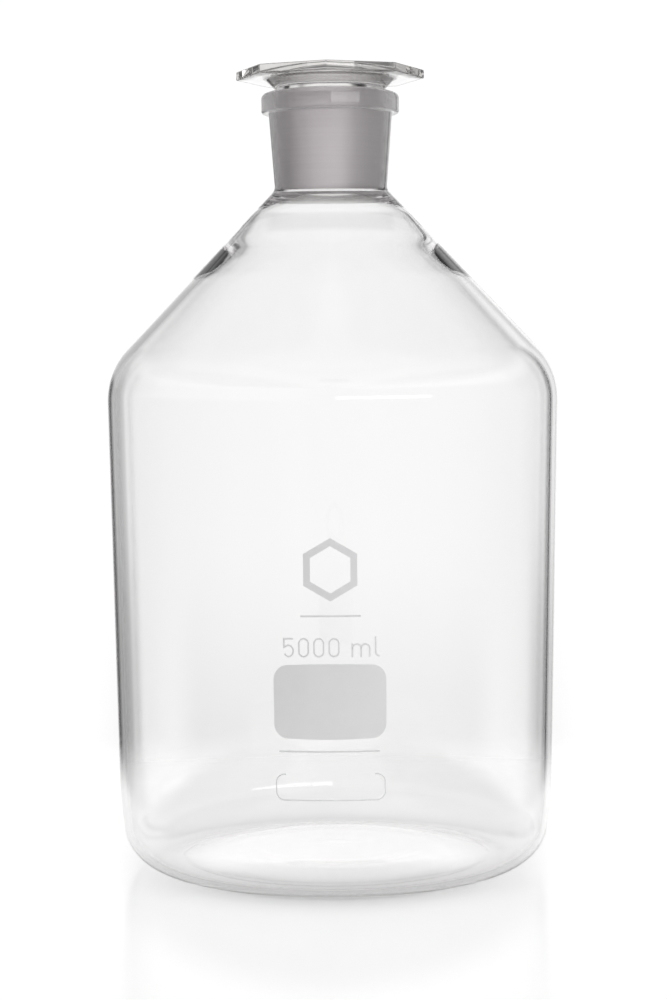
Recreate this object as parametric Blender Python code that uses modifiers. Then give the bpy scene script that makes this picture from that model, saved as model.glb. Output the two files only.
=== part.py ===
"""Narrow-neck reagent bottle of 5 litres with a ground-in octagonal glass stopper.

Metres, +Z up. The origin is the centre of the foot ring, on the surface the bottle stands on.
The bottle and the stopper are turned shapes; the enamel marks are thin skins fired on the front.
"""
import math

import bmesh
import bpy
from mathutils import Matrix, Vector

MM = 0.001

# Bottle, outside
HEIGHT = 312.0 * MM
BODY_RADIUS = 91.25 * MM          # where the side line and the shoulder line would meet
FOOT_RADIUS = 87.95 * MM          # side wall just above the foot
FOOT_TOP = 27.0 * MM
SHOULDER_Z = 200.9 * MM
SHOULDER_FILLET = 31.0 * MM
FOOT_FILLET = 18.5 * MM
FOOT_LEAN = math.radians(7.5)     # lean of the short band between the side and the foot
SIDE_FILLET = 150.0 * MM          # where that band meets the side
RING_INNER = 63.0 * MM            # foot ring, the flat band that touches the table
RING_FILLET = 6.0 * MM
PUSH_UP_RADIUS = 40.0 * MM
PUSH_UP_Z = 3.9 * MM
PUSH_UP_CENTRE_Z = 4.8 * MM
PUSH_UP_FILLET = 80.0 * MM

# Neck and rim
NECK_ROOT_RADIUS = 22.6 * MM
NECK_ROOT_Z = 273.4 * MM
NECK_TOP_RADIUS = 24.9 * MM
NECK_ROOT_FILLET = 4.0 * MM
RIM_RADIUS = 27.8 * MM
RIM_UNDER_Z = 303.8 * MM
RIM_TOP_FILLET = 2.3 * MM
RIM_LOW_FILLET = 1.0 * MM
RIM_NECK_FILLET = 0.6 * MM

# Standard ground joint, size 45/40 with a 1:10 taper
JOINT_TOP_RADIUS = 22.5 * MM
JOINT_TOP_Z = 311.8 * MM
JOINT_LENGTH = 40.0 * MM
JOINT_TAPER = 0.05                # radius lost for each unit of depth
JOINT_GAP = 0.3 * MM
JOINT_LIP = 1.2 * MM              # plain lip under the ground length
JOINT_LIP_FILLET = 1.0 * MM
MOUTH_FILLET = 0.5 * MM

# Glass thickness
WALL = 3.0 * MM
FLOOR = 3.3 * MM                  # at the push-up
INNER_FOOT_RADIUS = 81.85 * MM
INNER_FOOT_FILLET = 15.6 * MM
INNER_RING_FILLET = 12.0 * MM

# The thick root that the neck leaves inside the shoulder, from its lower edge to the joint
ROOT_LOW_Z = 237.0 * MM
ROOT_LOW_FILLET = 60.0 * MM
ROOT_RADIUS = 39.0 * MM
ROOT_Z = 250.0 * MM
ROOT_FILLET = 30.0 * MM
BELL_RADIUS = 28.5 * MM
BELL_Z = 264.8 * MM
BELL_TOP_RADIUS = 22.5 * MM
BELL_TOP_Z = 269.3 * MM
BELL_TOP_FILLET = 4.0 * MM

# Stopper
PLATE_CORNER_RADIUS = 37.9 * MM   # centre to a corner of the octagon
PLATE_UNDER_Z = 317.5 * MM
PLATE_THICKNESS = 3.5 * MM
PLATE_TURN = math.radians(-2.2)   # one corner faces almost straight forward
PLATE_BEVEL = 0.4 * MM
FLARE_RADIUS = 26.6 * MM
WAIST_RADIUS = 21.0 * MM
WAIST_Z = 312.4 * MM
WAIST_HEIGHT = 0.5 * MM
WAIST_FILLET = 3.0 * MM
FLARE_FILLET = 1.5 * MM
PLUG_TOP_Z = 311.2 * MM
PLUG_TOP_FILLET = 0.4 * MM
PLUG_BOTTOM_Z = 271.0 * MM
PLUG_BOTTOM_FILLET = 1.5 * MM

# Enamel marks; places across are measured round the glass from MARK_CENTRE
MARK_GAP = 0.3 * MM
MARK_DEPTH = 0.15 * MM
MARK_CENTRE = -2.0 * MM           # measured round the glass from the front
PANEL_WIDTH = 43.4 * MM
PANEL_BOTTOM = 64.4 * MM
PANEL_TOP = 91.4 * MM
PANEL_CORNER = 5.2 * MM
PANEL_BULGE = 0.7 * MM
PANEL_STRIPS = 28
DIGIT_LEFT = -17.8 * MM           # left edge of the figure five
DIGIT_BOTTOM = 94.6 * MM
DIGIT_HEIGHT = 7.3 * MM
DIGIT_WIDTH = 4.25 * MM
DIGIT_PITCH = 5.8 * MM
STROKE = 0.65 * MM
FIVE_BOWL = 2.1 * MM              # half the height of the five's bowl
FIVE_STEM = 1.35 * MM             # from the middle of the bowl up to the stem's lower end
LETTER_M_LEFT = 8.7 * MM
LETTER_M_HEIGHT = 5.2 * MM
LETTER_M_LEG = 3.3 * MM
LETTER_L_LEFT = 17.6 * MM
LETTER_L_RISE = 0.3 * MM          # how much taller than the figures
LETTER_L_FOOT = 1.5 * MM
SYMBOL_RADIUS = 11.6 * MM
SYMBOL_STROKE = 2.6 * MM
SYMBOL_X = 0.5 * MM
SYMBOL_Z = 127.3 * MM
FRAME_WIDTH = 42.8 * MM
FRAME_BOTTOM = 40.8 * MM
FRAME_TOP = 50.6 * MM
FRAME_CORNER = 3.2 * MM
FRAME_LIP = 0.8 * MM              # straight end of the frame's open top, past each corner
FRAME_STROKE = 0.5 * MM
RULE_STROKE = 0.7 * MM
UPPER_RULE_WIDTH = 22.9 * MM
UPPER_RULE_X = 0.5 * MM
UPPER_RULE_Z = 110.0 * MM
LOWER_RULE_WIDTH = 38.9 * MM
LOWER_RULE_X = -0.4 * MM
LOWER_RULE_Z = 59.2 * MM

STEPS = 48                        # facets round a turned shape
WIDE_FILLET = 10.0 * MM           # fillets from this radius up are drawn with finer facets
FINE_TURN = math.radians(13.0)    # most that one facet of a wide fillet turns
COARSE_TURN = math.radians(32.0)  # and of a small one
SHORT_EDGE = 3.0 * MM             # longest piece of a mark measured round the glass
MERGE = 0.01 * MM


def clear_scene():
    for item in list(bpy.data.objects):
        bpy.data.objects.remove(item, do_unlink=True)


def new_collection(name):
    collection = bpy.data.collections.new(name)
    bpy.context.scene.collection.children.link(collection)
    return collection


def material(name, colour, roughness, transmission=0.0):
    result = bpy.data.materials.new(name)
    result.use_nodes = True
    shader = result.node_tree.nodes["Principled BSDF"]
    shader.inputs["Base Color"].default_value = (*colour, 1.0)
    shader.inputs["Roughness"].default_value = roughness
    shader.inputs["Metallic"].default_value = 0.0
    shader.inputs["Transmission Weight"].default_value = transmission
    shader.inputs["IOR"].default_value = 1.473
    return result


# ---- outlines ----

def rounded(corners):
    """Points of an outline given as (x, y, fillet radius), with each fillet drawn as an arc."""
    points = []
    last = len(corners) - 1
    for index, (x, y, radius) in enumerate(corners):
        here = Vector((x, y))
        if radius == 0.0 or index in (0, last):
            points.append(here)
            continue
        back = (Vector(corners[index - 1][:2]) - here).normalized()
        ahead = (Vector(corners[index + 1][:2]) - here).normalized()
        half = back.angle(ahead) / 2
        turn = math.pi - 2 * half
        centre = here + (back + ahead).normalized() * (radius / math.sin(half))
        start = here + back * (radius / math.tan(half)) - centre
        side = 1.0 if back.cross(ahead) < 0 else -1.0
        count = math.ceil(turn / (FINE_TURN if radius >= WIDE_FILLET else COARSE_TURN))
        for step in range(count + 1):
            spin = Matrix.Rotation(side * turn * step / count, 2)
            points.append(centre + spin @ start)
    return points


def side_radius(z):
    """Outer radius of the slightly tapered side wall at a height."""
    share = (z - FOOT_TOP) / (SHOULDER_Z - FOOT_TOP)
    return FOOT_RADIUS + share * (BODY_RADIUS - FOOT_RADIUS)


def joint_radius(z):
    return JOINT_TOP_RADIUS - (JOINT_TOP_Z - z) * JOINT_TAPER


SHOULDER_SLOPE = (BODY_RADIUS - NECK_ROOT_RADIUS) / (NECK_ROOT_Z - SHOULDER_Z)
SHOULDER_WALL = WALL * math.hypot(1.0, SHOULDER_SLOPE)    # wall measured level, not square


def cone_radius(z):
    """Outer radius of the straight shoulder at a height."""
    return BODY_RADIUS - (z - SHOULDER_Z) * SHOULDER_SLOPE


def bottle_outside():
    """From the mouth down to the middle of the underside."""
    return [
        (RIM_RADIUS, HEIGHT, RIM_TOP_FILLET),
        (RIM_RADIUS, RIM_UNDER_Z, RIM_LOW_FILLET),
        (NECK_TOP_RADIUS, RIM_UNDER_Z, RIM_NECK_FILLET),
        (NECK_ROOT_RADIUS, NECK_ROOT_Z, NECK_ROOT_FILLET),
        (BODY_RADIUS, SHOULDER_Z, SHOULDER_FILLET),
        (FOOT_RADIUS, FOOT_TOP, SIDE_FILLET),
        (FOOT_RADIUS - FOOT_TOP * math.tan(FOOT_LEAN), 0.0, FOOT_FILLET),
        (RING_INNER, 0.0, RING_FILLET),
        (PUSH_UP_RADIUS, PUSH_UP_Z, PUSH_UP_FILLET),
        (0.0, PUSH_UP_CENTRE_Z, 0.0),
    ]


def bottle_inside():
    """From the middle of the floor up to the mouth."""
    inner_shoulder_z = SHOULDER_Z - (SHOULDER_WALL - WALL) / SHOULDER_SLOPE
    lip_z = JOINT_TOP_Z - JOINT_LENGTH - JOINT_LIP
    return [
        (0.0, PUSH_UP_CENTRE_Z + FLOOR, 0.0),
        (PUSH_UP_RADIUS, PUSH_UP_Z + FLOOR, PUSH_UP_FILLET),
        (RING_INNER, WALL, INNER_RING_FILLET),
        (INNER_FOOT_RADIUS, WALL, INNER_FOOT_FILLET),
        (FOOT_RADIUS - WALL, FOOT_TOP, SIDE_FILLET),
        (BODY_RADIUS - WALL, inner_shoulder_z, SHOULDER_FILLET - WALL),
        (cone_radius(ROOT_LOW_Z) - SHOULDER_WALL, ROOT_LOW_Z, ROOT_LOW_FILLET),
        (ROOT_RADIUS, ROOT_Z, ROOT_FILLET),
        (BELL_RADIUS, BELL_Z, ROOT_FILLET),
        (BELL_TOP_RADIUS, BELL_TOP_Z, BELL_TOP_FILLET),
        (joint_radius(JOINT_TOP_Z - JOINT_LENGTH), lip_z, JOINT_LIP_FILLET),
        (joint_radius(HEIGHT), HEIGHT, MOUTH_FILLET),
    ]


def stopper_outside():
    """From inside the plate down to the middle of the plug's end."""
    plate_middle = PLATE_UNDER_Z + PLATE_THICKNESS / 2
    plug_top = joint_radius(PLUG_TOP_Z) - JOINT_GAP
    plug_end = joint_radius(PLUG_BOTTOM_Z) - JOINT_GAP
    return [
        (0.0, plate_middle, 0.0),
        (FLARE_RADIUS, plate_middle, 0.0),
        (FLARE_RADIUS, PLATE_UNDER_Z, FLARE_FILLET),
        (WAIST_RADIUS, WAIST_Z, WAIST_FILLET),
        (WAIST_RADIUS, WAIST_Z - WAIST_HEIGHT, 0.0),
        (plug_top, PLUG_TOP_Z, PLUG_TOP_FILLET),
        (plug_end, PLUG_BOTTOM_Z, PLUG_BOTTOM_FILLET),
        (0.0, PLUG_BOTTOM_Z, 0.0),
    ]


# ---- solids ----

def turned(name, outline, collection, surface):
    """A solid of revolution about Z from an outline in the XZ plane."""
    mesh = bpy.data.meshes.new(name)
    mesh.from_pydata([(p.x, 0.0, p.y) for p in outline], [(i, i + 1) for i in range(len(outline) - 1)], [])
    mesh.materials.append(surface)
    result = bpy.data.objects.new(name, mesh)
    collection.objects.link(result)
    screw = result.modifiers.new("turn", "SCREW")
    screw.axis = "Z"
    screw.angle = math.tau
    screw.steps = STEPS
    screw.render_steps = STEPS
    screw.use_merge_vertices = True
    screw.merge_threshold = MERGE
    screw.use_smooth_shade = True
    return result


def make_bottle(collection, surface):
    outline = rounded(bottle_inside() + bottle_outside())
    return turned("bottle", outline, collection, surface)


def make_plate(collection):
    """The octagonal head, a short eight-sided prism with its edges eased."""
    mesh = bpy.data.meshes.new("stopper_plate")
    build = bmesh.new()
    bmesh.ops.create_cone(build, cap_ends=True, segments=8, radius1=PLATE_CORNER_RADIUS,
                          radius2=PLATE_CORNER_RADIUS, depth=PLATE_THICKNESS)
    build.to_mesh(mesh)
    build.free()
    plate = bpy.data.objects.new("stopper_plate", mesh)
    plate.location = (0.0, 0.0, PLATE_UNDER_Z + PLATE_THICKNESS / 2)
    plate.rotation_euler = (0.0, 0.0, PLATE_TURN)
    plate.hide_render = True
    plate.display_type = "WIRE"
    collection.objects.link(plate)
    bevel = plate.modifiers.new("ease", "BEVEL")
    bevel.width = PLATE_BEVEL
    bevel.segments = 2
    bevel.limit_method = "ANGLE"
    return plate


def make_stopper(collection, cutters, surface):
    plate = make_plate(cutters)
    stopper = turned("stopper", rounded(stopper_outside()), collection, surface)
    join = stopper.modifiers.new("plate", "BOOLEAN")
    join.operation = "UNION"
    join.solver = "EXACT"
    join.object = plate
    return stopper


# ---- enamel marks: drawn flat as (distance round the glass, height), then laid on the wall ----

def arc(centre_x, centre_y, radius_x, radius_y, start, end, count):
    """Points along part of an ellipse, angles in degrees from +X towards +Y."""
    points = []
    for step in range(count + 1):
        angle = math.radians(start + (end - start) * step / count)
        points.append((centre_x + radius_x * math.cos(angle), centre_y + radius_y * math.sin(angle)))
    return points


def divided(path, closed):
    """The path with long pieces cut so that each lies close to the round glass."""
    ends = path[1:] + path[:1] if closed else path[1:]
    points = []
    for (x0, y0), (x1, y1) in zip(path, ends):
        count = max(1, math.ceil(abs(x1 - x0) / SHORT_EDGE))
        points += [(x0 + (x1 - x0) * i / count, y0 + (y1 - y0) * i / count) for i in range(count)]
    return points if closed else points + [path[-1]]


def ribbon(path, width, closed=False):
    """A flat stroke of constant width along a path, as rows of left and right points."""
    points = [Vector(p) for p in divided(path, closed)]
    rows = []
    for index, here in enumerate(points):
        before = points[index - 1] if closed or index > 0 else here
        after = points[(index + 1) % len(points)] if closed or index < len(points) - 1 else here
        into = (here - before).normalized() if before is not here else (after - here).normalized()
        out = (after - here).normalized() if after is not here else into
        along = (into + out).normalized()
        reach = width / 2 / max(0.5, along.dot(out))
        normal = Vector((-along.y, along.x)) * reach
        rows.append((here - normal, here + normal))
    return rows


def on_glass(x, z, lift):
    """The place on the front of the side wall at a distance round the glass and a height."""
    radius = side_radius(z) + lift
    angle = (x + MARK_CENTRE) / BODY_RADIUS
    return (radius * math.sin(angle), -radius * math.cos(angle), z)


def mark(name, rows, collection, surface, closed=False):
    """A thin closed skin over the rows of points, one quad between each two rows."""
    mesh = bpy.data.meshes.new(name)
    build = bmesh.new()
    laid = [[build.verts.new(on_glass(p.x, p.y, MARK_GAP)) for p in row] for row in rows]
    pairs = list(zip(laid, laid[1:] + laid[:1] if closed else laid[1:]))
    for near, far in pairs:
        for index in range(len(near) - 1):
            build.faces.new((near[index], near[index + 1], far[index + 1], far[index]))
    bmesh.ops.recalc_face_normals(build, faces=build.faces)
    face = build.faces[:][0]
    if face.normal.y > 0:
        bmesh.ops.reverse_faces(build, faces=build.faces)
    build.to_mesh(mesh)
    build.free()
    mesh.materials.append(surface)
    result = bpy.data.objects.new(name, mesh)
    collection.objects.link(result)
    skin = result.modifiers.new("thickness", "SOLIDIFY")
    skin.thickness = MARK_DEPTH
    skin.offset = 1.0
    return result


def make_panel(collection, surface):
    """The writing field: a rounded rectangle with slightly bowed sides, in upright strips."""
    half = PANEL_WIDTH / 2
    middle = (PANEL_BOTTOM + PANEL_TOP) / 2
    tall = (PANEL_TOP - PANEL_BOTTOM) / 2
    rows = []
    for step in range(PANEL_STRIPS + 1):
        across = -math.cos(math.pi * step / PANEL_STRIPS)
        inset = max(0.0, abs(across) * half - (half - PANEL_CORNER))
        drop = PANEL_CORNER - math.sqrt(max(0.0, PANEL_CORNER ** 2 - inset ** 2))
        reach = tall + PANEL_BULGE * (1 - across ** 2) - drop
        x = across * half
        rows.append([Vector((x, middle + reach * side)) for side in (1.0, 0.0, -1.0)])
    return mark("writing_panel", rows, collection, surface)


def zero_path(left):
    """A narrow upright ring with straight sides."""
    radius = (DIGIT_WIDTH - STROKE) / 2
    x = left + DIGIT_WIDTH / 2
    low = DIGIT_BOTTOM + STROKE / 2 + radius
    high = DIGIT_BOTTOM + DIGIT_HEIGHT - STROKE / 2 - radius
    return arc(x, high, radius, radius, 0, 180, 8) + arc(x, low, radius, radius, 180, 360, 8)


def five_path(left):
    """Top bar from its right end, the stem, then the bowl."""
    near = left + STROKE / 2
    far = left + DIGIT_WIDTH - STROKE / 2
    top = DIGIT_BOTTOM + DIGIT_HEIGHT - STROKE / 2
    low = DIGIT_BOTTOM + STROKE / 2 + FIVE_BOWL
    bowl = arc((near + far) / 2, low, (far - near) / 2, FIVE_BOWL, 125, -150, 12)
    return [(far, top), (near, top), (near, low + FIVE_STEM)] + bowl


def arch_path(left, width, rise):
    """One bent leg of the small letter m: from its springing, over, and down."""
    radius = width / 2
    return arc(left + radius, rise - radius, radius, radius, 180, 0, 7) + [(left + width, DIGIT_BOTTOM)]


def make_unit_m(left, collection, cutters, surface):
    """Three legs joined into one body: the first stem, and two arches that cross it and each other."""
    rise = DIGIT_BOTTOM + LETTER_M_HEIGHT - STROKE / 2
    stem = [(left, DIGIT_BOTTOM), (left, DIGIT_BOTTOM + LETTER_M_HEIGHT)]
    result = mark("unit_m", ribbon(stem, STROKE), collection, surface)
    for index in range(2):
        path = arch_path(left + index * LETTER_M_LEG, LETTER_M_LEG, rise)
        arch = mark("unit_m_arch_%d" % index, ribbon(path, STROKE), cutters, surface)
        arch.modifiers["thickness"].thickness = MARK_DEPTH * (0.9 - 0.1 * index)
        arch.hide_render = True
        arch.display_type = "WIRE"
        join = result.modifiers.new(arch.name, "BOOLEAN")
        join.operation = "UNION"
        join.solver = "EXACT"
        join.object = arch
    return result


def make_capacity(collection, cutters, surface):
    """The nominal volume, five thousand millilitres."""
    mark("digit_five", ribbon(five_path(DIGIT_LEFT), STROKE), collection, surface)
    for index in range(3):
        path = zero_path(DIGIT_LEFT + (index + 1) * DIGIT_PITCH)
        mark("digit_zero_%d" % (index + 1), ribbon(path, STROKE, True), collection, surface, True)
    make_unit_m(LETTER_M_LEFT, collection, cutters, surface)
    top = DIGIT_BOTTOM + DIGIT_HEIGHT + LETTER_L_RISE
    foot = arc(LETTER_L_LEFT + LETTER_L_FOOT, DIGIT_BOTTOM + STROKE / 2 + LETTER_L_FOOT,
               LETTER_L_FOOT, LETTER_L_FOOT, 180, 270, 4)
    mark("unit_l", ribbon([(LETTER_L_LEFT, top)] + foot, STROKE), collection, surface)


def make_symbol(collection, surface):
    """A plain hexagon ring."""
    reach = SYMBOL_RADIUS - SYMBOL_STROKE / 2
    path = arc(SYMBOL_X, SYMBOL_Z, reach, reach, 90, 390, 5)
    mark("hexagon_symbol", ribbon(path, SYMBOL_STROKE, True), collection, surface, True)


def make_code_frame(collection, surface):
    """A rounded frame for a batch number, open along most of its top."""
    half = (FRAME_WIDTH - FRAME_STROKE) / 2
    corners = [
        (-half + FRAME_LIP + FRAME_CORNER, FRAME_TOP, 0.0),
        (-half, FRAME_TOP, FRAME_CORNER),
        (-half, FRAME_BOTTOM, FRAME_CORNER),
        (half, FRAME_BOTTOM, FRAME_CORNER),
        (half, FRAME_TOP, FRAME_CORNER),
        (half - FRAME_LIP - FRAME_CORNER, FRAME_TOP, 0.0),
    ]
    path = [tuple(p) for p in rounded(corners)]
    mark("batch_frame", ribbon(path, FRAME_STROKE), collection, surface)


def make_rule(name, middle, width, z, collection, surface):
    path = [(middle - width / 2, z), (middle + width / 2, z)]
    mark(name, ribbon(path, RULE_STROKE), collection, surface)


def main():
    clear_scene()
    parts = new_collection("reagent_bottle")
    cutters = new_collection("cutters")
    glass = material("clear_glass", (0.97, 0.98, 0.97), 0.02, 1.0)
    stopper_glass = material("stopper_glass", (0.95, 0.97, 0.95), 0.05, 1.0)
    enamel = material("white_enamel", (0.80, 0.80, 0.81), 0.45)
    make_bottle(parts, glass)
    make_stopper(parts, cutters, stopper_glass)
    make_panel(parts, enamel)
    make_capacity(parts, cutters, enamel)
    make_symbol(parts, enamel)
    make_code_frame(parts, enamel)
    make_rule("upper_rule", UPPER_RULE_X, UPPER_RULE_WIDTH, UPPER_RULE_Z, parts, enamel)
    make_rule("lower_rule", LOWER_RULE_X, LOWER_RULE_WIDTH, LOWER_RULE_Z, parts, enamel)


main()
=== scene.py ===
"""Clear glass reagent bottle with its ground-in octagonal stopper, on a white table.

The CAD bottle, stopper and enamel marks are each replaced by a finer mesh of the same shape.
"""
import math

import bmesh
import bpy
from mathutils import Matrix, Vector


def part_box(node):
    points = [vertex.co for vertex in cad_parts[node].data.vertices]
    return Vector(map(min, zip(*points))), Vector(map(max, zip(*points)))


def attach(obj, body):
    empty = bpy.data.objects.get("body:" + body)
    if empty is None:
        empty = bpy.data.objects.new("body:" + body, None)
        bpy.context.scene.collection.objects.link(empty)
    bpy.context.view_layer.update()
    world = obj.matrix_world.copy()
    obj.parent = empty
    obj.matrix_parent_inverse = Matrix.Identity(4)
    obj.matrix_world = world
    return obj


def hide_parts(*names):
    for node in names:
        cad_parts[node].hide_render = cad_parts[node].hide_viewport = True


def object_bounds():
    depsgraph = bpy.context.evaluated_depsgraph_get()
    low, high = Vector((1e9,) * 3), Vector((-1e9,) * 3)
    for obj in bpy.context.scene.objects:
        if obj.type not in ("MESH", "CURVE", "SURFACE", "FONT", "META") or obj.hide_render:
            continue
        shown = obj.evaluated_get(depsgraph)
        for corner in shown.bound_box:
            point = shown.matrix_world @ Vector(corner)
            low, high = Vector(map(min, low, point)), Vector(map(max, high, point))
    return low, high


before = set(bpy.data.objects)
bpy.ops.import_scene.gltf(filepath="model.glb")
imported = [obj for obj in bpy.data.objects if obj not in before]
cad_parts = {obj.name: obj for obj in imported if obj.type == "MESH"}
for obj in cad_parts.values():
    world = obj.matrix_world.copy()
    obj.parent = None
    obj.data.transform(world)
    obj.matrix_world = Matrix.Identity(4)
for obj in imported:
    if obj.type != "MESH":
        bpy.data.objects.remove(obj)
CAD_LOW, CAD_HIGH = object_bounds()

MM = 0.001

# Sizes taken from the frame
_, BOTTLE_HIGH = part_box("bottle")
STOPPER_LOW, STOPPER_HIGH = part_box("stopper")
WIDEST = BOTTLE_HIGH[0]
MOUTH_Z = BOTTLE_HIGH[2]
PLATE_TOP_Z = STOPPER_HIGH[2]
PLUG_END_Z = STOPPER_LOW[2]

# Bottle, outside
SIDE_TOP_RADIUS = WIDEST + 0.24 * MM   # where the side and shoulder lines would meet
SIDE_FOOT_RADIUS = WIDEST - 3.05 * MM
SIDE_FILLET = 150.0 * MM
FOOT_TOP = 27.0 * MM
SHOULDER_Z = 200.9 * MM
SHOULDER_FILLET = 31.0 * MM
FOOT_FILLET = 18.5 * MM
FOOT_LEAN = math.radians(7.5)
RING_INNER = 63.0 * MM
RING_FILLET = 6.0 * MM
PUSH_UP_RADIUS = 40.0 * MM
PUSH_UP_Z = 3.9 * MM
PUSH_UP_CENTRE_Z = 4.8 * MM
PUSH_UP_FILLET = 80.0 * MM
NECK_ROOT_RADIUS = 22.6 * MM
NECK_ROOT_Z = 273.4 * MM
NECK_ROOT_FILLET = 4.0 * MM
NECK_TOP_RADIUS = 24.9 * MM
NECK_TOP_FILLET = 0.6 * MM
RIM_RADIUS = 27.8 * MM
RIM_UNDER_Z = 303.8 * MM
RIM_TOP_FILLET = 2.3 * MM
RIM_UNDER_FILLET = 1.0 * MM

# Ground joint
JOINT_TOP_RADIUS = 22.5 * MM
JOINT_TOP_Z = MOUTH_Z - 0.2 * MM
JOINT_LENGTH = 40.0 * MM
JOINT_TAPER = 0.05        # of the radius, so 1:10 across
JOINT_GAP = 0.06 * MM
MOUTH_EASE = 0.5 * MM

# Glass thickness, and the inside of the neck's root, where the wall is thicker
WALL = 2.9 * MM
FLOOR = 3.3 * MM
INNER_RING_FILLET = 12.0 * MM
INNER_FOOT_INSET = 6.1 * MM
INNER_FOOT_FILLET = 15.6 * MM
ROOT_LOW_Z = 237.0 * MM
ROOT_LOW_FILLET = 60.0 * MM
ROOT_RADIUS = 39.0 * MM
ROOT_Z = 250.0 * MM
ROOT_FILLET = 30.0 * MM
BELL_RADIUS = 28.5 * MM
BELL_Z = 264.8 * MM
BELL_FILLET = 30.0 * MM
BELL_TOP_RADIUS = 22.5 * MM
BELL_TOP_Z = 269.3 * MM
BELL_TOP_FILLET = 4.0 * MM
BORE_START_DROP = 1.2 * MM
BORE_START_FILLET = 1.0 * MM

# Stopper
PLATE_CORNER_RADIUS = 37.9 * MM
PLATE_THICKNESS = 3.5 * MM
PLATE_TURN = math.radians(-2.2)
PLATE_UNDER_Z = PLATE_TOP_Z - PLATE_THICKNESS
PLATE_CORNER = 1.2 * MM
PLATE_EDGE = 0.45 * MM
PLATE_RINGS = (30.0 * MM, 20.0 * MM, 10.0 * MM, 3.0 * MM)
FLARE_FILLET = 2.5 * MM
FLARE_SKIRT = 4.0 * MM
WAIST_RADIUS = 21.0 * MM
WAIST_Z = 312.4 * MM
WAIST_LENGTH = 0.5 * MM
WAIST_FILLET = 3.0 * MM
PLUG_TOP_Z = 311.2 * MM
PLUG_TOP_FILLET = 0.4 * MM
PLUG_END_FILLET = 1.5 * MM

# Enamel marks
MARK_GAP = 0.02 * MM
MARK_DEPTH = 0.06 * MM
MARK_CENTRE = -2.0 * MM
PANEL_WIDTH = 43.4 * MM
PANEL_BOTTOM = 64.4 * MM
PANEL_TOP = 91.4 * MM
PANEL_CORNER = 5.2 * MM
PANEL_BULGE = 0.7 * MM
PANEL_COLUMNS = 90
PANEL_PIECES = 12
DIGITS_LEFT = -17.8 * MM
DIGIT_BOTTOM = 94.6 * MM
DIGIT_HEIGHT = 7.3 * MM
DIGIT_WIDTH = 4.25 * MM
DIGIT_PITCH = 5.8 * MM
FIVE_BOWL = 2.1 * MM
FIVE_STEM_LIFT = 1.35 * MM
STROKE = 0.65 * MM
M_LEFT = DIGITS_LEFT + 26.5 * MM
M_HEIGHT = 5.2 * MM
M_LEG = 3.3 * MM
L_STEM = M_LEFT + 8.9 * MM
L_FOOT = 1.5 * MM
L_EXTRA_HEIGHT = 0.3 * MM
SYMBOL_RADIUS = 11.6 * MM
SYMBOL_STROKE = 2.6 * MM
SYMBOL_X = 0.5 * MM
SYMBOL_Z = 127.3 * MM
FRAME_WIDTH = 42.8 * MM
FRAME_BOTTOM = 40.8 * MM
FRAME_TOP = 50.6 * MM
FRAME_CORNER = 3.2 * MM
FRAME_LIP = 0.8 * MM
FRAME_STROKE = 0.5 * MM
RULE_STROKE = 0.7 * MM
UPPER_RULE_WIDTH = 22.9 * MM
UPPER_RULE_X = 0.5 * MM
UPPER_RULE_Z = 110.0 * MM
LOWER_RULE_WIDTH = 38.9 * MM
LOWER_RULE_X = -0.4 * MM
LOWER_RULE_Z = 59.2 * MM

# Glass, and the enamel's two greys
GLASS_IOR = 1.473
CLEAR_ABSORBS, CLEAR_DENSITY = (0.86, 0.83, 0.84), 24.0
STOPPER_ABSORBS, STOPPER_DENSITY = (0.80, 0.785, 0.77), 18.0
MATT_COLOUR, MATT_DARKER, MATT_ROUGHNESS = (0.925, 0.91, 0.915), 0.94, 0.42
ENAMEL_DARK = (0.93, 0.925, 0.93)
ENAMEL_LIGHT = (0.96, 0.955, 0.96)

# Table, as brightness given off and taken away, with painted shadows and a painted pool of light
POOL_RADIUS = 0.25
POOL_EDGE = 0.50
POOL_CENTRE_Y = -0.10
TABLE_DROP = 0.1 * MM
TABLE_GREY = 0.80
TABLE_GLOW = 0.57
# BROAD_SHADE and BACK_SHADE are a painted shadow on the table round and behind the bottle
BROAD_SHADE = 0.095
BACK_SHADE = 0.105
WIDE_SHADE = 0.40
# CONTACT_SHADE is a painted contact shadow on the table in front of the bottle
CONTACT_SHADE = 0.09
# a painted pool of light on the table under the bottle
UNDER_PAINTED_LIGHT = 0.16
SHADE_CENTRE_Y = 0.17
SHADE_HALF_WIDTH = 0.095
SHADE_HALF_LENGTH = 0.29
VIEW_SPREAD = 0.145        # how fast the camera's view widens with distance on the table

# Studio
BEHIND_DIP = 0.15
SIDE_DIP = 0.25
HIGH_LEFT = 0.5
CEILING = 0.25
FRONT_CEILING = 0.45
SOFTBOX = 3.0
SOFTBOX_BARS = (149.0, 165.5)
STUDIO_STRENGTH = 1.02

# Camera: a long lens, slightly above the shoulder, a little under a metre in front
LENS = 86.4
CAMERA_PLACE = (0.0, -0.975, 0.205)
CAMERA_TILT = math.radians(90.0 - 3.35)
CAMERA_ROLL = math.radians(-0.484)

# Fineness of the meshes
STEPS = 192
ARC_STEP = math.radians(3.0)
LONGEST_EDGE = 6.0 * MM
LONGEST_STROKE_PIECE = 1.0 * MM
SHARP_GLASS = math.radians(40.0)
SHARP_STOPPER = math.radians(35.0)
SHARP_MARK = math.radians(40.0)
EDGE_STEPS = 4


# ---- node helpers ----

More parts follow.
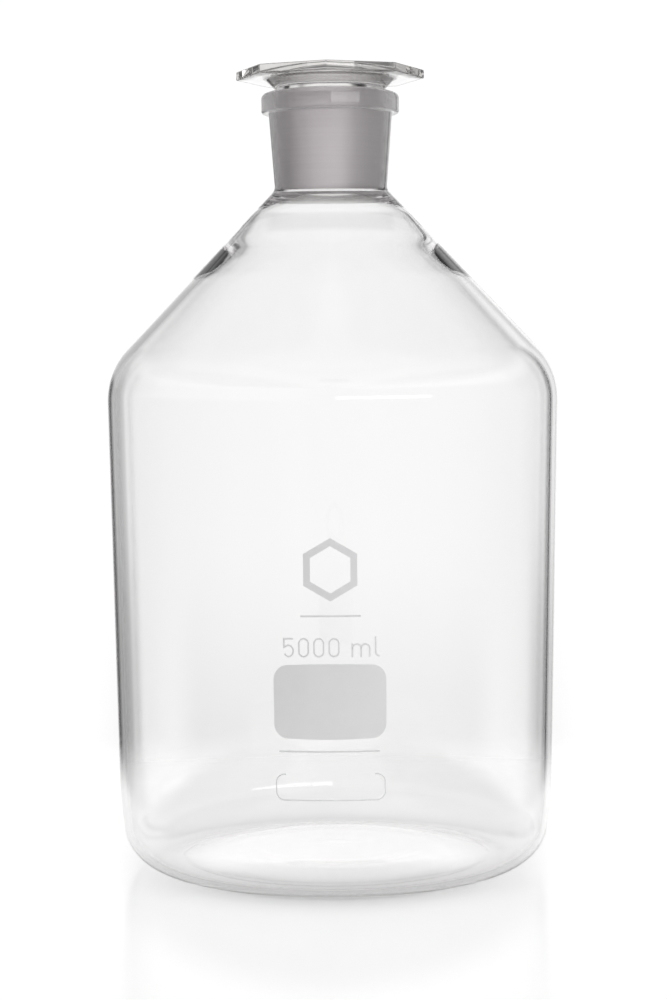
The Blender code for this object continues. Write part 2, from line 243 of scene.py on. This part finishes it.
class Nodes:
    """Short names for building a node tree."""

    def __init__(self, tree):
        self.tree = tree

    def add(self, kind, **inputs):
        node = self.tree.nodes.new(kind)
        for name, value in inputs.items():
            self.feed(node.inputs[name.replace("_", " ")], value)
        return node

    def feed(self, socket, value):
        if isinstance(value, bpy.types.NodeSocket):
            self.tree.links.new(value, socket)
        else:
            socket.default_value = value

    def math(self, operation, a, b=0.0, c=0.0):
        node = self.tree.nodes.new("ShaderNodeMath")
        node.operation = operation
        for socket, value in zip(node.inputs, (a, b, c)):
            self.feed(socket, value)
        return node.outputs[0]

    def smooth(self, value, low, high, start=0.0, end=1.0):
        """A soft step of value between low and high."""
        node = self.tree.nodes.new("ShaderNodeMapRange")
        node.interpolation_type = "SMOOTHSTEP"
        for name, given in (("Value", value), ("From Min", low), ("From Max", high),
                            ("To Min", start), ("To Max", end)):
            self.feed(node.inputs[name], given)
        return node.outputs[0]

    def mix(self, share, a, b):
        """Straight blend from a to b."""
        return self.math("MULTIPLY_ADD", share, self.math("SUBTRACT", b, a), a)

    def length(self, vector):
        node = self.tree.nodes.new("ShaderNodeVectorMath")
        node.operation = "LENGTH"
        self.feed(node.inputs[0], vector)
        return node.outputs["Value"]

    def offset(self, vector, shift):
        node = self.tree.nodes.new("ShaderNodeVectorMath")
        self.feed(node.inputs[0], vector)
        node.inputs[1].default_value = shift
        return node.outputs["Vector"]

    def window(self, value, low, high, soft):
        """One inside low to high, nought outside, with soft edges."""
        rise = self.smooth(value, low - soft, low + soft)
        fall = self.smooth(value, high - soft, high + soft, 1.0, 0.0)
        return self.math("MULTIPLY", rise, fall)


def new_material(name):
    result = bpy.data.materials.new(name)
    result.use_nodes = True
    return result, Nodes(result.node_tree), result.node_tree.nodes["Principled BSDF"]


# ---- materials ----

def clear_glass(name, absorb_colour, density):
    """Smooth glass that takes a little light away over the length of its way through."""
    result, nodes, shader = new_material(name)
    shader.inputs["Base Color"].default_value = (1.0, 1.0, 1.0, 1.0)
    shader.inputs["Roughness"].default_value = 0.0
    shader.inputs["Transmission Weight"].default_value = 1.0
    shader.inputs["IOR"].default_value = GLASS_IOR
    absorb = nodes.add("ShaderNodeVolumeAbsorption", Color=(*absorb_colour, 1.0), Density=density)
    output = result.node_tree.nodes["Material Output"]
    result.node_tree.links.new(absorb.outputs[0], output.inputs["Volume"])
    return result


def ground_glass(name, colour, roughness):
    """The matt surface of a ground joint: fine grinding rings in the bump, and uneven roughness."""
    result, nodes, shader = new_material(name)
    place = nodes.add("ShaderNodeTexCoord").outputs["Object"]
    mapping = nodes.add("ShaderNodeMapping", Vector=place, Scale=(25.0, 25.0, 1300.0))
    rings = nodes.add("ShaderNodeTexNoise", Vector=mapping.outputs[0], Scale=1.0, Detail=3.0)
    grain = nodes.add("ShaderNodeTexNoise", Vector=place, Scale=3500.0, Detail=2.0)
    height = nodes.math("ADD", rings.outputs["Fac"], grain.outputs["Fac"])
    bump = nodes.add("ShaderNodeBump", Height=height, Strength=0.25, Distance=0.00005)
    ramp = nodes.add("ShaderNodeValToRGB", Fac=nodes.smooth(rings.outputs["Fac"], 0.35, 0.65))
    ramp.color_ramp.elements[0].color = (*(part * MATT_DARKER for part in colour), 1.0)
    ramp.color_ramp.elements[1].color = (*colour, 1.0)
    nodes.feed(shader.inputs["Base Color"], ramp.outputs["Color"])
    nodes.feed(shader.inputs["Roughness"], nodes.smooth(rings.outputs["Fac"], 0.3, 0.7,
                                                        roughness - 0.06, roughness + 0.06))
    shader.inputs["Transmission Weight"].default_value = 1.0
    shader.inputs["IOR"].default_value = GLASS_IOR
    nodes.feed(shader.inputs["Normal"], bump.outputs[0])
    return result


def enamel_paint():
    """Fired-on enamel: pale grey with faint mottling and tiny pinholes."""
    result, nodes, shader = new_material("white_enamel")
    place = nodes.add("ShaderNodeTexCoord").outputs["Object"]
    cloud = nodes.add("ShaderNodeTexNoise", Vector=place, Scale=140.0, Detail=4.0)
    grain = nodes.add("ShaderNodeTexNoise", Vector=place, Scale=2600.0, Detail=2.0)
    shade = nodes.math("MULTIPLY_ADD", grain.outputs["Fac"], 0.4, cloud.outputs["Fac"])
    ramp = nodes.add("ShaderNodeValToRGB", Fac=nodes.smooth(shade, 0.45, 0.95))
    ramp.color_ramp.elements[0].color = (*ENAMEL_DARK, 1.0)
    ramp.color_ramp.elements[1].color = (*ENAMEL_LIGHT, 1.0)
    bump = nodes.add("ShaderNodeBump", Height=grain.outputs["Fac"], Strength=0.15, Distance=0.00002)
    nodes.feed(shader.inputs["Base Color"], ramp.outputs["Color"])
    nodes.feed(shader.inputs["Roughness"], nodes.smooth(cloud.outputs["Fac"], 0.3, 0.7, 0.38, 0.52))
    nodes.feed(shader.inputs["Normal"], bump.outputs[0])
    return result


# ---- outlines ----

def rounded(corners, arc_step=ARC_STEP):
    """Points of an outline given as (x, y, fillet radius), with each fillet drawn as an arc."""
    points = []
    last = len(corners) - 1
    for index, (x, y, radius) in enumerate(corners):
        here = Vector((x, y))
        if radius == 0.0 or index in (0, last):
            points.append(here)
            continue
        back = (Vector(corners[index - 1][:2]) - here).normalized()
        ahead = (Vector(corners[index + 1][:2]) - here).normalized()
        half = back.angle(ahead) / 2
        turn = math.pi - 2 * half
        centre = here + (back + ahead).normalized() * (radius / math.sin(half))
        start = here + back * (radius / math.tan(half)) - centre
        side = 1.0 if back.cross(ahead) < 0 else -1.0
        count = max(2, math.ceil(turn / arc_step))
        for step in range(count + 1):
            spin = Matrix.Rotation(side * turn * step / count, 2)
            points.append(centre + spin @ start)
    return points


def filled(points):
    """The outline with straight stretches cut into pieces no longer than the longest edge."""
    result = [points[0]]
    for here, there in zip(points, points[1:]):
        count = max(1, math.ceil((there - here).length / LONGEST_EDGE))
        result += [here.lerp(there, step / count) for step in range(1, count + 1)]
    return result


def joint_radius(z):
    return JOINT_TOP_RADIUS - (JOINT_TOP_Z - z) * JOINT_TAPER


def side_radius(z):
    share = (z - FOOT_TOP) / (SHOULDER_Z - FOOT_TOP)
    return SIDE_FOOT_RADIUS + share * (SIDE_TOP_RADIUS - SIDE_FOOT_RADIUS)


SHOULDER_SLOPE = (SIDE_TOP_RADIUS - NECK_ROOT_RADIUS) / (NECK_ROOT_Z - SHOULDER_Z)
SHOULDER_WALL = WALL * math.hypot(1.0, SHOULDER_SLOPE)


def cone_radius(z):
    return SIDE_TOP_RADIUS - (z - SHOULDER_Z) * SHOULDER_SLOPE


def bottle_outside():
    """From the mouth down to the middle of the underside."""
    return [
        (RIM_RADIUS, MOUTH_Z, RIM_TOP_FILLET),
        (RIM_RADIUS, RIM_UNDER_Z, RIM_UNDER_FILLET),
        (NECK_TOP_RADIUS, RIM_UNDER_Z, NECK_TOP_FILLET),
        (NECK_ROOT_RADIUS, NECK_ROOT_Z, NECK_ROOT_FILLET),
        (SIDE_TOP_RADIUS, SHOULDER_Z, SHOULDER_FILLET),
        (SIDE_FOOT_RADIUS, FOOT_TOP, SIDE_FILLET),
        (SIDE_FOOT_RADIUS - FOOT_TOP * math.tan(FOOT_LEAN), 0.0, FOOT_FILLET),
        (RING_INNER, 0.0, RING_FILLET),
        (PUSH_UP_RADIUS, PUSH_UP_Z, PUSH_UP_FILLET),
        (0.0, PUSH_UP_CENTRE_Z, 0.0),
    ]


def bottle_inside():
    """From the middle of the floor up to the lower end of the ground bore."""
    inner_shoulder_z = SHOULDER_Z - (SHOULDER_WALL - WALL) / SHOULDER_SLOPE
    joint_end_z = JOINT_TOP_Z - JOINT_LENGTH
    return [
        (0.0, PUSH_UP_CENTRE_Z + FLOOR, 0.0),
        (PUSH_UP_RADIUS, PUSH_UP_Z + FLOOR, PUSH_UP_FILLET),
        (RING_INNER, WALL, INNER_RING_FILLET),
        (SIDE_FOOT_RADIUS - INNER_FOOT_INSET, WALL, INNER_FOOT_FILLET),
        (SIDE_FOOT_RADIUS - WALL, FOOT_TOP, SIDE_FILLET),
        (SIDE_TOP_RADIUS - WALL, inner_shoulder_z, SHOULDER_FILLET - WALL),
        (cone_radius(ROOT_LOW_Z) - SHOULDER_WALL, ROOT_LOW_Z, ROOT_LOW_FILLET),
        (ROOT_RADIUS, ROOT_Z, ROOT_FILLET),
        (BELL_RADIUS, BELL_Z, BELL_FILLET),
        (BELL_TOP_RADIUS, BELL_TOP_Z, BELL_TOP_FILLET),
        (joint_radius(joint_end_z), joint_end_z - BORE_START_DROP, BORE_START_FILLET),
        (joint_radius(joint_end_z), joint_end_z, 0.0),
    ]


# ---- glass meshes ----

def ring_mesh(name, rings, surfaces, surface_of, sharp):
    """A closed mesh from rings of points, each the same count, closed by a point at both ends."""
    mesh = bpy.data.meshes.new(name)
    build = bmesh.new()
    low = build.verts.new(rings[0][0])
    laid = [[build.verts.new(p) for p in ring] for ring in rings[1:-1]]
    high = build.verts.new(rings[-1][0])
    count = len(laid[0])
    for step in range(count):
        following = (step + 1) % count
        face = build.faces.new((low, laid[0][step], laid[0][following]))
        face.material_index = surface_of(0)
        for index in range(len(laid) - 1):
            near, far = laid[index], laid[index + 1]
            face = build.faces.new((near[step], far[step], far[following], near[following]))
            face.material_index = surface_of(index + 1)
        face = build.faces.new((laid[-1][step], high, laid[-1][following]))
        face.material_index = surface_of(len(laid))
    bmesh.ops.recalc_face_normals(build, faces=build.faces)
    build.to_mesh(mesh)
    build.free()
    for surface in surfaces:
        mesh.materials.append(surface)
    mesh.shade_smooth()
    mesh.set_sharp_from_angle(angle=sharp)
    result = bpy.data.objects.new(name, mesh)
    bpy.context.scene.collection.objects.link(result)
    return result


def circle(radius, z):
    return [(radius * math.cos(math.tau * i / STEPS), radius * math.sin(math.tau * i / STEPS), z)
            for i in range(STEPS)]


def make_bottle(glass, matt):
    """One turned shell: up the inside, through the ground bore, over the rim and down the outside."""
    inner = filled(rounded(bottle_inside()))
    bore_top = Vector((joint_radius(JOINT_TOP_Z), JOINT_TOP_Z))
    mouth = Vector((JOINT_TOP_RADIUS + MOUTH_EASE, MOUTH_Z))
    outer = filled(rounded([(mouth.x, mouth.y, 0.0)] + bottle_outside()))
    outline = inner + [bore_top, mouth] + outer[1:]
    bore_index = len(inner) - 1
    rings = []
    for index, point in enumerate(outline):
        if index in (0, len(outline) - 1):
            rings.append([(0.0, 0.0, point.y)])
        else:
            rings.append(circle(point.x, point.y))
    piece = ring_mesh("bottle_glass", rings, [glass, matt],
                      lambda index: 1 if index == bore_index else 0, SHARP_GLASS)
    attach(piece, "bottle")
    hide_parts("bottle")
    return piece


def octagon(inset, z, per_side=10, per_corner=5):
    """Points round an octagon with eased corners, drawn in from its full size by inset."""
    apothem = PLATE_CORNER_RADIUS * math.cos(math.pi / 8) - inset
    ease = PLATE_CORNER - inset
    reach = (apothem - ease) / math.cos(math.pi / 8)
    half_side = (apothem - ease) * math.tan(math.pi / 8)
    points = []
    for side in range(8):
        turn = PLATE_TURN - math.pi / 2 + math.pi / 8 + side * math.pi / 4
        spin = Matrix.Rotation(turn, 2)
        for step in range(per_side + 1):
            along = half_side * (2 * step / per_side - 1)
            points.append(spin @ Vector((apothem, along)))
        corner_turn = turn + math.pi / 8
        centre = Vector((math.cos(corner_turn), math.sin(corner_turn))) * reach
        for step in range(1, per_corner):
            angle = turn + math.pi / 4 * step / per_corner
            points.append(centre + Vector((math.cos(angle), math.sin(angle))) * ease)
    return [(p.x, p.y, z) for p in points]


def round_ring(radius, z, outline):
    """A circle with its points in the same directions as those of an outline."""
    points = []
    for x, y, _ in outline:
        scale = radius / math.hypot(x, y)
        points.append((x * scale, y * scale, z))
    return points


def stopper_turned():
    """Plug and flare, from the plug's end up to the underside of the plate."""
    plug_top = joint_radius(PLUG_TOP_Z) - JOINT_GAP
    plug_end = joint_radius(PLUG_END_Z) - JOINT_GAP
    flare_top = WAIST_RADIUS + (PLATE_UNDER_Z - WAIST_Z)
    return [
        (0.0, PLUG_END_Z, 0.0),
        (plug_end, PLUG_END_Z, PLUG_END_FILLET),
        (plug_top, PLUG_TOP_Z, PLUG_TOP_FILLET),
        (WAIST_RADIUS, WAIST_Z - WAIST_LENGTH, 0.0),
        (WAIST_RADIUS, WAIST_Z, WAIST_FILLET),
        (flare_top, PLATE_UNDER_Z, FLARE_FILLET),
        (flare_top + FLARE_SKIRT, PLATE_UNDER_Z, 0.0),
    ]


def plate_rings(outline):
    """Round the plate's lower edge, up its side, round its upper edge and in across its top."""
    rings = []
    for step in range(EDGE_STEPS + 1):
        angle = math.pi / 2 * step / EDGE_STEPS
        rings.append(octagon(PLATE_EDGE * (1 - math.sin(angle)),
                             PLATE_UNDER_Z + PLATE_EDGE * (1 - math.cos(angle))))
    for step in range(EDGE_STEPS + 1):
        angle = math.pi / 2 * step / EDGE_STEPS
        rings.append(octagon(PLATE_EDGE * (1 - math.cos(angle)),
                             PLATE_TOP_Z - PLATE_EDGE * (1 - math.sin(angle))))
    rings += [round_ring(radius, PLATE_TOP_Z, outline) for radius in PLATE_RINGS]
    return rings + [[(0.0, 0.0, PLATE_TOP_Z)]]


def make_stopper(glass, matt):
    """One turned plug and flare that goes over into the octagonal plate."""
    outline = octagon(0.0, 0.0)
    turned = rounded(stopper_turned(), 2 * ARC_STEP)
    rings = [[(0.0, 0.0, PLUG_END_Z)]]
    rings += [round_ring(point.x, point.y, outline) for point in turned[1:]]
    rings += plate_rings(outline)
    # the ground surface is the plug's side, above the eased end
    ground_low = PLUG_END_Z + PLUG_END_FILLET - 0.1 * MM
    ground = [index for index in range(1, len(turned) - 1)
              if turned[index].y >= ground_low and turned[index + 1].y <= PLUG_TOP_Z]
    piece = ring_mesh("stopper_glass", rings, [glass, matt],
                      lambda index: 1 if index in ground else 0, SHARP_STOPPER)
    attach(piece, "stopper")
    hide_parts("stopper")
    return piece


# ---- enamel marks ----

def arc(centre_x, centre_y, radius_x, radius_y, start, end, count):
    points = []
    for step in range(count + 1):
        angle = math.radians(start + (end - start) * step / count)
        points.append((centre_x + radius_x * math.cos(angle), centre_y + radius_y * math.sin(angle)))
    return points


def divided(path, closed):
    """The path with enough points across the bottle to bend round it."""
    ends = path[1:] + path[:1] if closed else path[1:]
    points = []
    for (x0, y0), (x1, y1) in zip(path, ends):
        count = max(1, math.ceil(abs(x1 - x0) / LONGEST_STROKE_PIECE))
        points += [(x0 + (x1 - x0) * i / count, y0 + (y1 - y0) * i / count) for i in range(count)]
    return points if closed else points + [path[-1]]


def ribbon(path, width, closed=False):
    """A flat stroke of constant width along a path, as rows of left and right points."""
    points = [Vector(p) for p in divided(path, closed)]
    rows = []
    for index, here in enumerate(points):
        before = points[index - 1] if closed or index > 0 else here
        after = points[(index + 1) % len(points)] if closed or index < len(points) - 1 else here
        into = (here - before).normalized() if before is not here else (after - here).normalized()
        out = (after - here).normalized() if after is not here else into
        along = (into + out).normalized()
        reach = width / 2 / max(0.5, along.dot(out))
        normal = Vector((-along.y, along.x)) * reach
        rows.append((here - normal, here + normal))
    return rows


def on_glass(x, z, lift):
    """A point of a flat drawing, bent round the front of the bottle."""
    radius = side_radius(z) + lift
    angle = (x + MARK_CENTRE) / SIDE_TOP_RADIUS
    return (radius * math.sin(angle), -radius * math.cos(angle), z)


def mark(name, strokes, surface):
    """Thin closed skins over strokes, each given as (rows of points, whether it closes on itself)."""
    mesh = bpy.data.meshes.new(name)
    build = bmesh.new()
    for rows, closed in strokes:
        # each row goes out along the glass side and back along the outside, round the skin's section
        laid = []
        for row in rows:
            under = [build.verts.new(on_glass(p.x, p.y, MARK_GAP)) for p in row]
            over = [build.verts.new(on_glass(p.x, p.y, MARK_GAP + MARK_DEPTH)) for p in row]
            laid.append(under + over[::-1])
        for near, far in zip(laid, laid[1:] + laid[:1] if closed else laid[1:]):
            for index in range(len(near)):
                build.faces.new((near[index - 1], near[index], far[index], far[index - 1]))
        if not closed:
            for section in (laid[0], laid[-1]):
                last = len(section) - 1
                for index in range(len(section) // 2 - 1):
                    build.faces.new((section[index], section[index + 1],
                                     section[last - index - 1], section[last - index]))
    bmesh.ops.recalc_face_normals(build, faces=build.faces)
    build.to_mesh(mesh)
    build.free()
    mesh.materials.append(surface)
    mesh.shade_smooth()
    mesh.set_sharp_from_angle(angle=SHARP_MARK)
    piece = bpy.data.objects.new(name + "_enamel", mesh)
    bpy.context.scene.collection.objects.link(piece)
    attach(piece, "bottle")
    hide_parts(name)
    return piece


def panel_rows():
    """Upright rows of points over a rounded rectangle whose top and bottom bow out a little."""
    half = PANEL_WIDTH / 2
    middle = (PANEL_BOTTOM + PANEL_TOP) / 2
    tall = (PANEL_TOP - PANEL_BOTTOM) / 2
    rows = []
    for step in range(PANEL_COLUMNS + 1):
        across = -math.cos(math.pi * step / PANEL_COLUMNS)
        inset = max(0.0, abs(across) * half - (half - PANEL_CORNER))
        drop = PANEL_CORNER - math.sqrt(max(0.0, PANEL_CORNER ** 2 - inset ** 2))
        reach = tall + PANEL_BULGE * (1 - across ** 2) - drop
        rows.append([Vector((across * half, middle + reach * (1 - 2 * side / PANEL_PIECES)))
                     for side in range(PANEL_PIECES + 1)])
    return rows


def zero_path(left):
    radius = (DIGIT_WIDTH - STROKE) / 2
    x = left + DIGIT_WIDTH / 2
    low = DIGIT_BOTTOM + STROKE / 2 + radius
    high = DIGIT_BOTTOM + DIGIT_HEIGHT - STROKE / 2 - radius
    return arc(x, high, radius, radius, 0, 180, 24) + arc(x, low, radius, radius, 180, 360, 24)


def five_path(left):
    near = left + STROKE / 2
    far = left + DIGIT_WIDTH - STROKE / 2
    top = DIGIT_BOTTOM + DIGIT_HEIGHT - STROKE / 2
    low = DIGIT_BOTTOM + STROKE / 2 + FIVE_BOWL
    bowl = arc((near + far) / 2, low, (far - near) / 2, FIVE_BOWL, 125, -150, 30)
    return [(far, top), (near, top), (near, low + FIVE_STEM_LIFT)] + bowl


def arch_path(left):
    """One arch of the letter m, from its left end over the top and down its right leg."""
    radius = M_LEG / 2
    rise = DIGIT_BOTTOM + M_HEIGHT - STROKE / 2
    return arc(left + radius, rise - radius, radius, radius, 180, 0, 20) + [(left + M_LEG, DIGIT_BOTTOM)]


def m_strokes():
    stem = [(M_LEFT, DIGIT_BOTTOM), (M_LEFT, DIGIT_BOTTOM + M_HEIGHT)]
    paths = [stem, arch_path(M_LEFT), arch_path(M_LEFT + M_LEG)]
    return [(ribbon(path, STROKE), False) for path in paths]


def l_path():
    foot = arc(L_STEM + L_FOOT, DIGIT_BOTTOM + STROKE / 2 + L_FOOT, L_FOOT, L_FOOT, 180, 270, 10)
    return [(L_STEM, DIGIT_BOTTOM + DIGIT_HEIGHT + L_EXTRA_HEIGHT)] + foot


def frame_path():
    """A rounded frame whose top side is open between two short lips."""
    half = (FRAME_WIDTH - FRAME_STROKE) / 2
    corners = [
        (-half + FRAME_LIP + FRAME_CORNER, FRAME_TOP, 0.0),
        (-half, FRAME_TOP, FRAME_CORNER),
        (-half, FRAME_BOTTOM, FRAME_CORNER),
        (half, FRAME_BOTTOM, FRAME_CORNER),
        (half, FRAME_TOP, FRAME_CORNER),
        (half - FRAME_LIP - FRAME_CORNER, FRAME_TOP, 0.0),
    ]
    return [tuple(point) for point in rounded(corners, math.radians(10.0))]


def rule_path(middle, width, z):
    return [(middle - width / 2, z), (middle + width / 2, z)]


def make_marks(surface):
    mark("writing_panel", [(panel_rows(), False)], surface)
    mark("digit_five", [(ribbon(five_path(DIGITS_LEFT), STROKE), False)], surface)
    for index in range(1, 4):
        path = zero_path(DIGITS_LEFT + index * DIGIT_PITCH)
        mark("digit_zero_%d" % index, [(ribbon(path, STROKE, True), True)], surface)
    mark("unit_m", m_strokes(), surface)
    mark("unit_l", [(ribbon(l_path(), STROKE), False)], surface)
    reach = SYMBOL_RADIUS - SYMBOL_STROKE / 2
    hexagon = arc(SYMBOL_X, SYMBOL_Z, reach, reach, 90, 390, 5)
    mark("hexagon_symbol", [(ribbon(hexagon, SYMBOL_STROKE, True), True)], surface)
    mark("batch_frame", [(ribbon(frame_path(), FRAME_STROKE), False)], surface)
    upper = rule_path(UPPER_RULE_X, UPPER_RULE_WIDTH, UPPER_RULE_Z)
    mark("upper_rule", [(ribbon(upper, RULE_STROKE), False)], surface)
    lower = rule_path(LOWER_RULE_X, LOWER_RULE_WIDTH, LOWER_RULE_Z)
    mark("lower_rule", [(ribbon(lower, RULE_STROKE), False)], surface)


# ---- stage ----

def table_glow_and_painted_shade(nodes, place):
    """How much light the table gives off at a place: less in the painted soft shadows round the bottle, less
    to either side, and more in a painted pool of light under it.
    """
    from_bottle = nodes.length(nodes.offset(place, (0.0, POOL_CENTRE_Y, 0.0)))
    across, away, _ = nodes.add("ShaderNodeSeparateXYZ", Vector=place).outputs
    # a broad pale painted shadow along the line of view, deeper behind the bottle
    squeezed = nodes.add("ShaderNodeMapping", Vector=place,
                         Location=(0.0, -(SHADE_CENTRE_Y / SHADE_HALF_LENGTH), 0.0),
                         Scale=(1 / SHADE_HALF_WIDTH, 1 / SHADE_HALF_LENGTH, 0.0))
    broad = nodes.smooth(nodes.length(squeezed.outputs[0]), 0.85, 1.05, BROAD_SHADE, 0.0)
    behind = nodes.smooth(away, 0.17, 0.27, 1.0, 1.0 + BACK_SHADE / BROAD_SHADE)
    broad = nodes.math("MULTIPLY", broad, behind)
    # a narrow painted contact shadow where the glass meets the table, in front of the bottle and at its
    # sides
    contact = nodes.smooth(from_bottle, 74.0 * MM, 102.0 * MM, CONTACT_SHADE, 0.0)
    contact = nodes.math("MULTIPLY", contact, nodes.smooth(away, 0.03, 0.08, 1.0, 0.0))
    # darker to either side, outside what the camera sees
    outside = nodes.math("MULTIPLY_ADD", away, -VIEW_SPREAD, nodes.math("ABSOLUTE", across))
    wide = nodes.smooth(outside, 0.13, 0.18, 0.0, WIDE_SHADE)
    # and a painted pool of light under the bottle
    under = nodes.smooth(from_bottle, 46.0 * MM, 70.0 * MM, UNDER_PAINTED_LIGHT, 0.0)
    glow = TABLE_GLOW
    for shade in (broad, contact, wide):
        glow = nodes.math("SUBTRACT", glow, shade)
    return nodes.math("ADD", glow, under)


def table_surface():
    """White acrylic, clear towards the table's edge, so that the table fades into the backdrop."""
    surface, nodes, shader = new_material("white_acrylic")
    shader.inputs["Base Color"].default_value = (TABLE_GREY, TABLE_GREY, TABLE_GREY, 1.0)
    shader.inputs["Roughness"].default_value = 0.22
    shader.inputs["Emission Color"].default_value = (1.0, 1.0, 1.0, 1.0)
    place = nodes.add("ShaderNodeTexCoord").outputs["Object"]
    nodes.feed(shader.inputs["Emission Strength"], table_glow_and_painted_shade(nodes, place))
    fade = nodes.smooth(nodes.length(place), POOL_RADIUS, POOL_EDGE * 0.92)
    mix = nodes.add("ShaderNodeMixShader", Fac=fade)
    through = nodes.add("ShaderNodeBsdfTransparent")
    nodes.tree.links.new(shader.outputs[0], mix.inputs[1])
    nodes.tree.links.new(through.outputs[0], mix.inputs[2])
    nodes.tree.links.new(mix.outputs[0], nodes.tree.nodes["Material Output"].inputs["Surface"])
    return surface


def make_table():
    """A round white sheet that glows, with painted shadows round the object and a painted pool of light
    under it.
    """
    mesh = bpy.data.meshes.new("table")
    build = bmesh.new()
    bmesh.ops.create_circle(build, cap_ends=True, segments=96, radius=POOL_EDGE)
    build.to_mesh(mesh)
    build.free()
    mesh.materials.append(table_surface())
    table = bpy.data.objects.new("table", mesh)
    table.location = (0.0, POOL_CENTRE_Y, CAD_LOW[2] - TABLE_DROP)
    bpy.context.scene.collection.objects.link(table)


# What stands round the table, as (angle from straight behind, brightness)
LEFT_SIDE = [
    (0, 1.00), (10, 1.00), (12, 0.90), (14, 0.40), (15.5, 0.20), (18, 0.00), (21, 0.00), (24.5, 0.25),
    (26, 0.70), (32, 0.40), (38, 0.50), (54, 0.55), (66, 0.35), (80, 0.25), (110, 0.15), (150, 0.20),
    (170, 0.40), (180, 0.55),
]
RIGHT_SIDE = [
    (0, 1.00), (13, 1.00), (15, 0.90), (18, 0.45), (22, 0.95), (28.5, 0.75), (30, 0.02), (35, 0.02),
    (37, 0.40), (43, 0.75), (65, 0.65), (95, 0.75), (125, 0.95), (160, 0.95), (180, 0.60),
]


def side_ramp(nodes, cards, turn):
    """Brightness against the angle from straight behind the object."""
    ramp = nodes.add("ShaderNodeValToRGB", Fac=nodes.math("MULTIPLY", turn, 1 / math.pi))
    stops = ramp.color_ramp.elements
    stops.remove(stops[-1])
    for index, (angle, level) in enumerate(cards):
        stop = stops[0] if index == 0 else stops.new(angle / 180)
        stop.position = angle / 180
        stop.color = (level, level, level, 1.0)
    return ramp.outputs["Color"]


def softbox(nodes, angle, height):
    """A low window in front, cut into panes by upright bars."""
    box = nodes.math("MULTIPLY", nodes.window(angle, 130.0, 178.0, 1.0), nodes.window(height, 5.2, 8.8, 0.5))
    for bar in SOFTBOX_BARS:
        open_part = nodes.math("SUBTRACT", 1.0, nodes.window(angle, bar, bar + 1.0, 0.6))
        box = nodes.math("MULTIPLY", box, open_part)
    return box


def dimmed(nodes, level, area, share):
    """The level with a share of it taken away inside an area."""
    return nodes.math("MULTIPLY", level, nodes.math("MULTIPLY_ADD", area, -share, 1.0))


def make_studio():
    """A studio as a function of direction: cards round the horizon, a softbox, a dim ceiling."""
    world = bpy.data.worlds.new("studio")
    bpy.context.scene.world = world
    world.use_nodes = True
    nodes = Nodes(world.node_tree)
    direction = nodes.add("ShaderNodeTexCoord").outputs["Generated"]
    x, y, z = nodes.add("ShaderNodeSeparateXYZ", Vector=direction).outputs
    turn = nodes.math("ARCTAN2", nodes.math("ABSOLUTE", x), y)
    right = nodes.math("GREATER_THAN", x, 0.0)
    angle = nodes.math("MULTIPLY", turn, 180 / math.pi)
    height = nodes.math("MULTIPLY", nodes.math("ARCSINE", z), 180 / math.pi)
    # the dark card on the left is a low one, and pale above the height of the bottle's shoulder
    left_level = side_ramp(nodes, LEFT_SIDE, turn)
    left_level = nodes.mix(nodes.window(height, 4.0, 22.0, 1.5), left_level,
                           nodes.math("MAXIMUM", left_level, HIGH_LEFT))
    level = nodes.mix(right, left_level, side_ramp(nodes, RIGHT_SIDE, turn))
    # the floor is white, and the ceiling dim, a little less so in front
    level = nodes.mix(nodes.smooth(height, -22.0, -13.0, 1.0, 0.0), level, 1.0)
    ceiling = nodes.smooth(angle, 95.0, 125.0, CEILING, FRONT_CEILING)
    level = nodes.mix(nodes.smooth(height, 22.0, 32.0), level, ceiling)
    # the backdrop is a little darker low down, right behind the object and at its sides
    behind = nodes.math("MULTIPLY", nodes.smooth(angle, 4.4, 6.2, 1.0, 0.0),
                        nodes.smooth(height, -11.0, -4.0, 1.0, 0.0))
    level = dimmed(nodes, level, behind, BEHIND_DIP)
    sides = nodes.math("MULTIPLY", nodes.window(angle, 10.5, 60.0, 1.5),
                       nodes.smooth(height, -8.0, -3.0, 1.0, 0.0))
    level = dimmed(nodes, level, sides, SIDE_DIP)
    in_box = nodes.math("MULTIPLY", softbox(nodes, angle, height), right)
    level = nodes.math("MULTIPLY_ADD", in_box, SOFTBOX, level)
    colour = nodes.add("ShaderNodeCombineColor", Red=level, Green=level, Blue=level)
    background = world.node_tree.nodes["Background"]
    nodes.feed(background.inputs["Color"], colour.outputs[0])
    background.inputs["Strength"].default_value = STUDIO_STRENGTH


def make_camera():
    """The camera, tilted down and rolled by a hair."""
    data = bpy.data.cameras.new("camera")
    data.lens = LENS
    data.sensor_width = 36.0
    camera = bpy.data.objects.new("camera", data)
    bpy.context.scene.collection.objects.link(camera)
    camera.matrix_world = (Matrix.Translation(CAMERA_PLACE) @ Matrix.Rotation(CAMERA_TILT, 4, "X")
                           @ Matrix.Rotation(CAMERA_ROLL, 4, "Z"))
    bpy.context.scene.camera = camera


def main():
    make_camera()
    clear = clear_glass("clear_glass", CLEAR_ABSORBS, CLEAR_DENSITY)
    thick = clear_glass("stopper_glass", STOPPER_ABSORBS, STOPPER_DENSITY)
    matt = ground_glass("ground_glass", MATT_COLOUR, MATT_ROUGHNESS)
    make_bottle(clear, matt)
    make_stopper(thick, matt)
    make_marks(enamel_paint())
    make_table()
    make_studio()
    scene = bpy.context.scene
    scene.view_settings.view_transform = "Standard"
    scene.cycles.max_bounces = 24
    scene.cycles.transmission_bounces = 24
    scene.cycles.glossy_bounces = 12


main()
